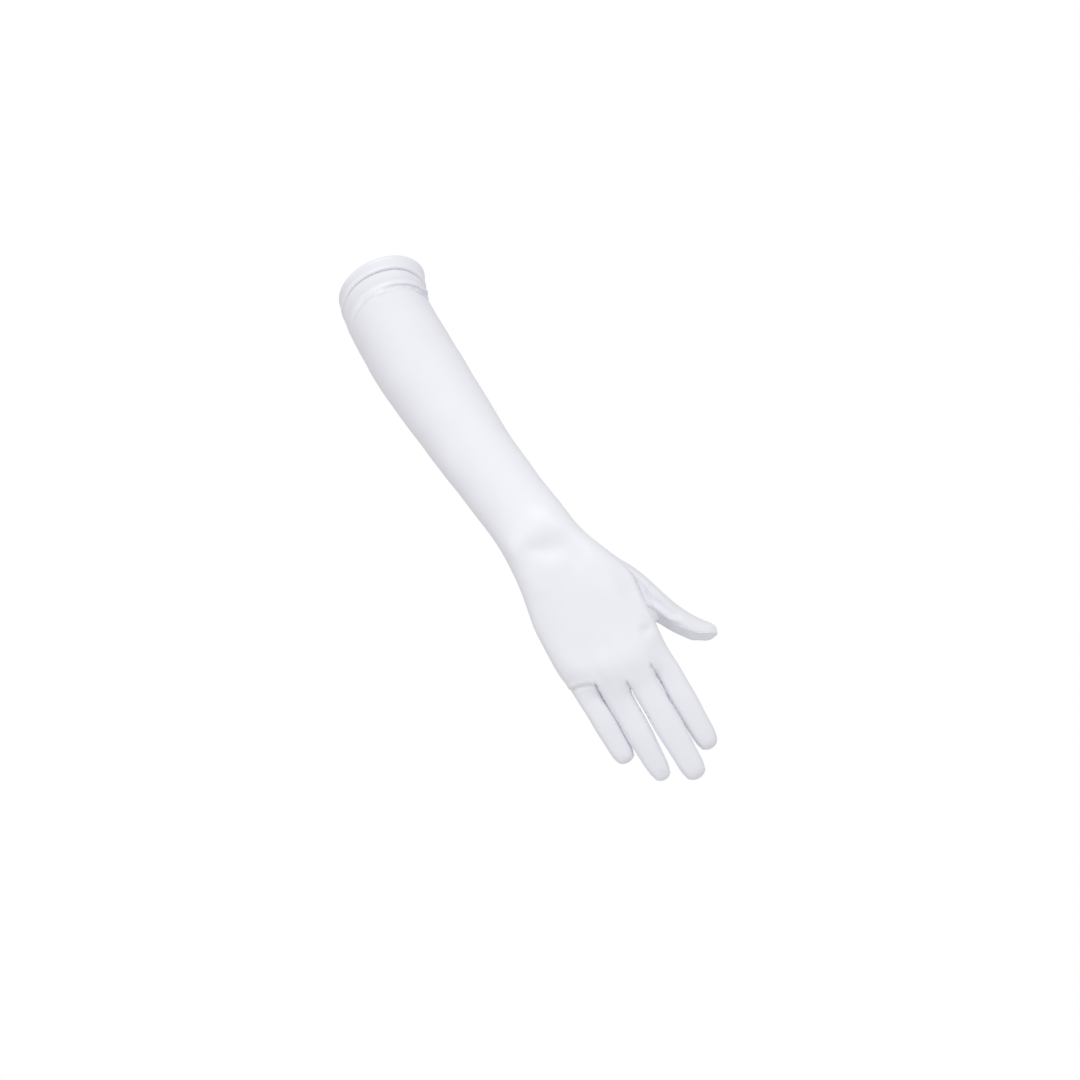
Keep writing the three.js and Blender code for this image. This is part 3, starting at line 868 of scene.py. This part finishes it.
@dataclass
class ClothSurface:
    """The smooth worn surface, into which the hand's shape and the folds are worked."""

    mesh: bpy.types.Mesh
    view: PhotoView = field(default_factory=PhotoView)
    uneven_mm: float = 0.42
    uneven_reach: float = 0.022
    outline_fade: float = 4.0

    def copied(self) -> WorkMesh:
        """Working copy of the whole surface."""
        sheet = bmesh.new()
        sheet.from_mesh(self.mesh)
        return sheet

    def read(self) -> tuple[np.ndarray, np.ndarray]:
        """Places and outward directions of the points."""
        count = len(self.mesh.vertices)
        spots = np.empty(count * 3, np.float32)
        outwards = np.empty(count * 3, np.float32)
        self.mesh.vertices.foreach_get("co", spots)
        self.mesh.vertices.foreach_get("normal", outwards)
        return spots.reshape(-1, 3).astype(float), outwards.reshape(-1, 3).astype(float)

    def write(self, spots: np.ndarray) -> None:
        """Moves the points to new places."""
        self.mesh.vertices.foreach_set("co", spots.astype(np.float32).ravel())
        self.mesh.update()

    def down_the_cloth(self) -> np.ndarray:
        """How far down the cloth each point lies from the rim, in millimetres."""
        loops = len(self.mesh.loops)
        corners = np.empty(loops, np.int32)
        places = np.empty(loops * 2, np.float32)
        self.mesh.loops.foreach_get("vertex_index", corners)
        self.mesh.uv_layers[CLOTH_MAP].data.foreach_get("uv", places)
        down = np.zeros(len(self.mesh.vertices))
        down[corners] = -places.reshape(-1, 2)[:, 1] / MM
        return down

    def shape(self) -> None:
        """Works in the bumps, the folds and the slight unevenness of worn cloth."""
        spots, outwards = self.read()
        places = self.view.project(spots)
        faces_back = np.clip(-outwards[:, 1], 0.0, 1.0)
        seen = np.clip(self.view.facing(spots, outwards) * self.outline_fade, 0.0, 1.0)
        lift = HemRoll().lift(self.down_the_cloth(), spots)
        for bump in BUMPS:
            lift += bump.lift(spots) * faces_back
            log.debug("worked in %s", bump.name)
        for mark in (*PATCHES, *CREASES):
            lift += mark.lift(places) * seen
            log.debug("worked in %s", mark.name)
        waves = [noise.noise(Vector(spot) / self.uneven_reach) for spot in spots]
        lift += np.array(waves) * self.uneven_mm * MM
        self.write(spots + outwards * lift[:, None])


@dataclass(frozen=True)
class Seam:
    """How the cloth turns in where two pieces are sewn together."""

    reach_mm: float = 1.15
    depth_mm: float = 0.24
    swell_mm: float = 0.06
    swell_place: float = 1.1
    swell_width: float = 0.6
    pucker_mm: float = 0.03
    pucker_length_mm: float = 4.5
    pucker_reach_mm: float = 2.5
    finger_level: float = -314.0
    finger_share: float = 0.25

    def drop(self, away: np.ndarray, spots: np.ndarray) -> np.ndarray:
        """Height in metres that the seam adds at distances in metres from it."""
        reaches = away / (self.reach_mm * MM)
        swell = np.exp(-(((reaches - self.swell_place) / self.swell_width) ** 2))
        waves = [noise.noise(Vector(spot) / (self.pucker_length_mm * MM)) for spot in spots]
        pucker = np.array(waves) * np.exp(-((away / (self.pucker_reach_mm * MM)) ** 2))
        dip = np.clip(1 - reaches, 0.0, 1.0) ** 2
        height = self.swell_mm * swell + self.pucker_mm * pucker - self.depth_mm * dip
        on_finger = spots[:, 2] < self.finger_level * MM
        return np.where(on_finger, self.finger_share, 1.0) * height * MM


@dataclass
class SewnPanel:
    """One piece of cloth, cut out of the worn surface and given its thickness."""

    panel: Panel
    flat: tuple[float, float]
    area: float
    slot: str = "satin"
    thickness: float = 0.45 * MM
    seam: Seam = field(default_factory=Seam)

    def cut(self, surface: ClothSurface) -> WorkMesh:
        """Cuts the piece out.

        Args:
            surface: the whole worn surface.

        Returns:
            The piece as one open sheet, with its sewn edges turned in.
        """
        sheet = surface.copied()
        own = self.panel.value
        sewn = set()
        for edge in sheet.edges:
            panels = {face.material_index for face in edge.link_faces}
            if own in panels and len(panels) > 1:
                sewn.update(edge.verts)
        finder = KDTree(len(sewn))
        for vertex in sewn:
            finder.insert(vertex.co, vertex.index)
        finder.balance()
        kept = [
            vertex
            for vertex in sheet.verts
            if any(face.material_index == own for face in vertex.link_faces)
        ]
        spots = np.array([vertex.co for vertex in kept])
        outwards = np.array([vertex.normal for vertex in kept])
        away = np.array([finder.find(vertex.co)[2] for vertex in kept])
        lift = self.seam.drop(away, spots)
        for vertex, spot in zip(kept, spots + outwards * lift[:, None]):
            vertex.co = spot
        lost = [face for face in sheet.faces if face.material_index != own]
        bmesh.ops.delete(sheet, geom=lost, context="FACES")
        for face in sheet.faces:
            face.material_index = 0
        return sheet

    def make(self, surface: ClothSurface, finish: bpy.types.Material) -> bpy.types.Object:
        sheet = self.cut(surface)
        self.thicken(sheet)
        piece = finished(sheet, self.panel.node + "_cloth", finish)
        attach(piece, "root")
        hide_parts(self.panel.node)
        return piece

    def thicken(self, sheet: WorkMesh) -> None:
        """Gives the open sheet, its faces outwards, a wall on its inner side."""
        sheet.normal_update()
        border = [edge for edge in sheet.edges if edge.is_boundary]
        partner = add_inner_layer(sheet, self.thickness)
        wall, _ = extruded(sheet, border)
        touching = []
        for vertex, foot in wall.items():
            foot.co = partner[vertex].co
            touching += [foot, partner[vertex]]
        bmesh.ops.remove_doubles(sheet, verts=touching, dist=WELD)
        bmesh.ops.recalc_face_normals(sheet, faces=sheet.faces)


def add_inner_layer(sheet: WorkMesh, depth: float) -> dict[Vert, Vert]:
    """Adds a copy of a sheet inside it, facing inwards.

    Args:
        sheet: the open sheet, its faces outwards.
        depth: how far inside it the copy lies, in metres.

    Returns:
        The inner point that belongs to each outer one.
    """
    outer = list(sheet.faces)
    made = bmesh.ops.duplicate(sheet, geom=outer)
    partner = made["vert_map"]
    for vertex in {vertex for face in outer for vertex in face.verts}:
        partner[vertex].co = vertex.co - vertex.normal * depth
    inner = [item for item in made["geom"] if isinstance(item, Face)]
    bmesh.ops.reverse_faces(sheet, faces=inner)
    return partner


# Which way the arm opening faces, and where along that the hem's middle lies, in millimetres
RIM_UP = Vector((0.0, 0.56, 0.83)).normalized()
HEM_MIDDLE = -6.0


@dataclass
class CuffHem(SewnPanel):
    """The hem round the arm opening: the cloth turned in over itself."""

    slot: str = "satin_hem"
    fold_gap: float = 1.3 * MM
    fold_steps: int = 5

    def thicken(self, sheet: WorkMesh) -> None:
        """Turns the cloth over at the rim and gives both layers their wall."""
        rim = [edge for edge in sheet.edges if edge.is_boundary and self.on_rim(edge)]
        partner = add_inner_layer(sheet, self.fold_gap)
        self.fold_over(sheet, rim, partner)
        bmesh.ops.remove_doubles(sheet, verts=sheet.verts, dist=WELD)
        super().thicken(sheet)

    @staticmethod
    def on_rim(edge: Edge) -> bool:
        """Whether a border edge lies on the arm opening, above the middle of the hem."""
        middle = (edge.verts[0].co + edge.verts[1].co) / 2
        return middle.dot(RIM_UP) > HEM_MIDDLE * MM

    def fold_over(self, sheet: WorkMesh, rim: list[Edge], partner: dict[Vert, Vert]) -> None:
        """Carries the cloth over the rim in a half circle to the inner layer."""
        ends = {
            vertex: (vertex.co.copy(), partner[vertex].co.copy())
            for edge in rim
            for vertex in edge.verts
        }
        border = rim
        for step in range(1, self.fold_steps + 1):
            angle = math.pi * step / self.fold_steps
            rise = RIM_UP * math.sin(angle) * self.fold_gap / 2
            grown, border = extruded(sheet, border)
            for vertex, after in grown.items():
                start, end = ends[vertex]
                middle = (start + end) / 2
                after.co = middle + (start - middle) * math.cos(angle) + rise
                ends[after] = (start, end)


def finished(sheet: WorkMesh, name: str, finish: bpy.types.Material) -> bpy.types.Object:
    """Turns a mesh under work into a smooth-shaded piece with its finish.

    Args:
        sheet: the mesh, which is freed.
        name: name of the piece.
        finish: its material.

    Returns:
        The new object.
    """
    for face in sheet.faces:
        face.smooth = True
    mesh = bpy.data.meshes.new(name)
    sheet.to_mesh(mesh)
    sheet.free()
    mesh.materials.clear()
    mesh.materials.append(finish)
    piece = bpy.data.objects.new(name, mesh)
    bpy.context.scene.collection.objects.link(piece)
    return piece


@dataclass(frozen=True)
class SeamRidge:
    """The narrow raised edge along a seam, where the sewn cloth stands up."""

    name: str
    panels: tuple[Panel, Panel]
    radius: float = 0.36 * MM
    height: float = 0.06 * MM
    sides: int = 6

    def runs(self, sheet: WorkMesh) -> list[list[Vert]]:
        """Rows of neighbouring points along the seam, over the whole surface."""
        pair = {panel.value for panel in self.panels}
        links: dict[Vert, list[Vert]] = {}
        for edge in sheet.edges:
            if {face.material_index for face in edge.link_faces} == pair:
                first, last = edge.verts
                links.setdefault(first, []).append(last)
                links.setdefault(last, []).append(first)
        rows = []
        left = set(links)
        while left:
            ends = [vertex for vertex in left if len(links[vertex]) == 1]
            vertex = min(ends or left, key=lambda vertex: vertex.index)
            row = []
            while vertex is not None:
                row.append(vertex)
                left.discard(vertex)
                vertex = next((other for other in links[vertex] if other in left), None)
            rows.append(row)
        return rows

    def make(self, surface: ClothSurface, finish: bpy.types.Material) -> bpy.types.Object:
        """Makes the ridge along the whole seam.

        Args:
            surface: the whole worn surface.
            finish: its material.

        Returns:
            The new piece.
        """
        sheet = surface.copied()
        cord = bmesh.new()
        for row in self.runs(sheet):
            if len(row) > 2:
                spots = [vertex.co + vertex.normal * self.height for vertex in row]
                sweep(cord, spots, self.radius, self.sides)
        sheet.free()
        bmesh.ops.recalc_face_normals(cord, faces=cord.faces)
        piece = finished(cord, self.name, finish)
        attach(piece, "root")
        return piece


def sweep(mesh: WorkMesh, spots: list[Vector], radius: float, sides: int) -> None:
    """Adds a closed round cord along a row of places.

    Args:
        mesh: the mesh to add it to.
        spots: the places, in metres.
        radius: its radius in metres.
        sides: how many sides it has.
    """
    ring = bmesh.ops.create_circle(mesh, cap_ends=False, segments=sides, radius=radius)["verts"]
    shape = [vertex.co.copy() for vertex in ring]
    first = ring
    for number, spot in enumerate(spots):
        before = spots[max(number - 1, 0)]
        after = spots[min(number + 1, len(spots) - 1)]
        turn = (after - before).to_track_quat("Z", "Y")
        if number:
            ring = next_ring(mesh, ring)
        for vertex, place in zip(ring, shape):
            vertex.co = spot + turn @ place
    for end in (first, ring):
        bmesh.ops.contextual_create(mesh, geom=end)


def node_material(name: str) -> bpy.types.Material:
    """Starts a material that is made of nodes."""
    material = bpy.data.materials.new(name)
    material.use_nodes = True
    return material


def set_sockets(node: bpy.types.Node, values: dict[str, float | tuple[float, ...]]) -> None:
    """Sets sockets of a node to plain values."""
    for name, value in values.items():
        node.inputs[name].default_value = value


# How far a straight wave texture turns in one unit, in radians, and sockets of a mix node
WAVE_TURN = 20
COLOUR_A = 6
COLOUR_B = 7
MIXED_COLOUR = 2


@dataclass(frozen=True)
class SatinFinish:
    """Cool white satin with a soft sheen and a fine weave."""

    name: str
    shade: tuple[float, float, float] = (0.835, 0.836, 0.892)
    shade_dark: tuple[float, float, float] = (0.795, 0.796, 0.852)
    roughness: tuple[float, float] = (0.36, 0.46)
    thread: float = 0.32 * MM
    slub_reach: float = 2.2 * MM
    slub_stretch: float = 0.22
    cloud_reach: float = 26 * MM
    weave_height: float = 0.008 * MM
    slub_height: float = 0.02 * MM

    def make(self) -> bpy.types.Material:
        """Builds the node material."""
        material = node_material(self.name)
        shader = material.node_tree.nodes["Principled BSDF"]
        shader.inputs["Specular IOR Level"].default_value = 0.45
        shader.inputs["Sheen Weight"].default_value = 0.12
        shader.inputs["Sheen Roughness"].default_value = 0.4
        shader.inputs["Sheen Tint"].default_value = (0.93, 0.93, 1.0, 1.0)
        self.add_clouds(material.node_tree, shader)
        self.add_relief(material.node_tree, shader)
        return material

    def add_clouds(self, tree: bpy.types.NodeTree, shader: bpy.types.Node) -> None:
        """Lets the shade and the gloss wander softly over the cloth."""
        place = tree.nodes.new("ShaderNodeTexCoord")
        clouds = tree.nodes.new("ShaderNodeTexNoise")
        set_sockets(clouds, {"Scale": 1 / self.cloud_reach, "Detail": 3})
        tree.links.new(place.outputs["Object"], clouds.inputs["Vector"])
        shades = tree.nodes.new("ShaderNodeMix")
        shades.data_type = "RGBA"
        shades.inputs[COLOUR_A].default_value = (*self.shade_dark, 1)
        shades.inputs[COLOUR_B].default_value = (*self.shade, 1)
        tree.links.new(clouds.outputs["Fac"], shades.inputs["Factor"])
        tree.links.new(shades.outputs[MIXED_COLOUR], shader.inputs["Base Color"])
        gloss = tree.nodes.new("ShaderNodeMapRange")
        set_sockets(gloss, {"To Min": self.roughness[0], "To Max": self.roughness[1]})
        tree.links.new(clouds.outputs["Fac"], gloss.inputs["Value"])
        tree.links.new(gloss.outputs["Result"], shader.inputs["Roughness"])

    def add_relief(self, tree: bpy.types.NodeTree, shader: bpy.types.Node) -> None:
        """Raises the weave and the slubs of the thread, both along the cloth."""
        cloth = tree.nodes.new("ShaderNodeUVMap")
        cloth.uv_map = CLOTH_MAP
        weave = tree.nodes.new("ShaderNodeTexWave")
        weave.wave_type = "BANDS"
        weave.bands_direction = "DIAGONAL"
        scale = math.tau / (WAVE_TURN * self.thread)
        set_sockets(weave, {"Scale": scale, "Distortion": 1.5, "Detail": 1})
        tree.links.new(cloth.outputs["UV"], weave.inputs["Vector"])
        stretch = tree.nodes.new("ShaderNodeMapping")
        set_sockets(stretch, {"Scale": (1, self.slub_stretch, 1)})
        tree.links.new(cloth.outputs["UV"], stretch.inputs["Vector"])
        slubs = tree.nodes.new("ShaderNodeTexNoise")
        set_sockets(slubs, {"Scale": 1 / self.slub_reach, "Detail": 2})
        tree.links.new(stretch.outputs["Vector"], slubs.inputs["Vector"])
        fine = tree.nodes.new("ShaderNodeBump")
        set_sockets(fine, {"Distance": self.weave_height, "Strength": 1})
        tree.links.new(weave.outputs["Fac"], fine.inputs["Height"])
        coarse = tree.nodes.new("ShaderNodeBump")
        set_sockets(coarse, {"Distance": self.slub_height, "Strength": 1})
        tree.links.new(slubs.outputs["Fac"], coarse.inputs["Height"])
        tree.links.new(fine.outputs["Normal"], coarse.inputs["Normal"])
        tree.links.new(coarse.outputs["Normal"], shader.inputs["Normal"])


@dataclass
class Studio:
    """Plain pale floor, white surroundings and soft lights."""

    floor_level: float = -1.0
    floor_radius: float = 0.8
    floor_centre: tuple[float, float] = (0.0, -0.4)
    room_radius: float = 8.0
    ambient: float = 0.67
    aim: tuple[float, float, float] = (0.0, -0.1, -0.2)
    lights: tuple[tuple[str, tuple[float, float, float], float, float], ...] = (
        ("key", (0.45, -1.1, 0.4), 0.8, 6.2),
        ("fill", (-1.2, -1.4, 0.1), 1.4, 3.5),
    )

    def build(self) -> None:
        """Makes the stage."""
        self.lay_floor()
        self.raise_backdrop()
        self.set_ambient()
        for name, spot, size, power in self.lights:
            self.hang_light(name, spot, size, power)
        bpy.context.scene.view_settings.view_transform = "Standard"

    def raise_backdrop(self) -> None:
        """Surrounds the stage with an evenly white backdrop that throws no light of its own."""
        shell = bmesh.new()
        bmesh.ops.create_icosphere(shell, subdivisions=4, radius=self.room_radius)
        bmesh.ops.reverse_faces(shell, faces=shell.faces)
        material = node_material("white_backdrop")
        nodes = material.node_tree.nodes
        nodes.remove(nodes["Principled BSDF"])
        glow = nodes.new("ShaderNodeEmission")
        glow.inputs["Color"].default_value = (1, 1, 1, 1)
        out = nodes["Material Output"]
        material.node_tree.links.new(glow.outputs["Emission"], out.inputs["Surface"])
        backdrop = finished(shell, "white_backdrop", material)
        backdrop.visible_diffuse = False
        backdrop.visible_glossy = False
        backdrop.visible_transmission = False
        backdrop.visible_shadow = False

    def lay_floor(self) -> None:
        """Lays the floor well below the hanging fingers."""
        disc = bmesh.new()
        bmesh.ops.create_circle(disc, cap_ends=True, segments=96, radius=self.floor_radius)
        shift = Vector((*self.floor_centre, self.floor_level))
        bmesh.ops.translate(disc, verts=disc.verts, vec=shift)
        material = node_material("pale_floor")
        shader = material.node_tree.nodes["Principled BSDF"]
        shader.inputs["Base Color"].default_value = (0.86, 0.86, 0.87, 1)
        shader.inputs["Roughness"].default_value = 0.9
        finished(disc, "pale_floor", material)

    def set_ambient(self) -> None:
        """Fills the room with even light."""
        world = bpy.data.worlds.new("white_room")
        world.use_nodes = True
        shade = world.node_tree.nodes["Background"]
        shade.inputs["Color"].default_value = (1, 1, 1, 1)
        shade.inputs["Strength"].default_value = self.ambient
        bpy.context.scene.world = world

    def hang_light(
        self, name: str, spot: tuple[float, float, float], size: float, power: float
    ) -> None:
        """Hangs one soft square light that faces the glove's middle."""
        light = bpy.data.lights.new(name, "AREA")
        light.shape = "SQUARE"
        light.size = size
        light.energy = power
        lamp = bpy.data.objects.new(name, light)
        towards = Vector(self.aim) - Vector(spot)
        lamp.rotation_euler = towards.to_track_quat("-Z", "Y").to_euler()
        lamp.location = spot
        lamp.visible_camera = False
        bpy.context.scene.collection.objects.link(lamp)


PANELS = (
    SewnPanel(Panel.BACK_PANEL, (0.115, 0.50), 0.0310),
    SewnPanel(Panel.PALM_PANEL, (0.115, 0.50), 0.0295),
    SewnPanel(Panel.FOURCHETTE_RING_LITTLE, (0.014, 0.125), 0.00100),
    SewnPanel(Panel.FOURCHETTE_MIDDLE_RING, (0.014, 0.145), 0.00112),
    SewnPanel(Panel.FOURCHETTE_INDEX_MIDDLE, (0.014, 0.145), 0.00112),
    SewnPanel(Panel.THUMB_BACK, (0.072, 0.070), 0.0040),
    SewnPanel(Panel.THUMB_PALM, (0.032, 0.065), 0.0014),
)
HEM = CuffHem(Panel.CUFF_HEM, (0.026, 0.205), 0.0051)
RIDGES = (
    SeamRidge("seam_ring_little", (Panel.BACK_PANEL, Panel.FOURCHETTE_RING_LITTLE)),
    SeamRidge("seam_middle_ring", (Panel.BACK_PANEL, Panel.FOURCHETTE_MIDDLE_RING)),
    SeamRidge("seam_index_middle", (Panel.BACK_PANEL, Panel.FOURCHETTE_INDEX_MIDDLE)),
    SeamRidge("seam_thumb", (Panel.THUMB_BACK, Panel.THUMB_PALM)),
)


def main() -> None:
    """Builds the glove and its stage in order and reports each piece."""
    logging.basicConfig(level=logging.INFO, format="%(message)s")
    view = PhotoView()
    view.place_camera()
    Studio().build()
    surface = ClothSurface(GloveForm().build(), view)
    surface.shape()
    satin = SatinFinish("glove_satin").make()
    hem_satin = SatinFinish("hem_satin").make()
    pieces = [panel.make(surface, satin) for panel in PANELS]
    pieces += [ridge.make(surface, satin) for ridge in RIDGES]
    pieces.append(HEM.make(surface, hem_satin))
    for piece in pieces:
        log.info("%s: %d faces", piece.name, len(piece.data.polygons))
    bpy.data.meshes.remove(surface.mesh)


if __name__ == "__main__":
    main()
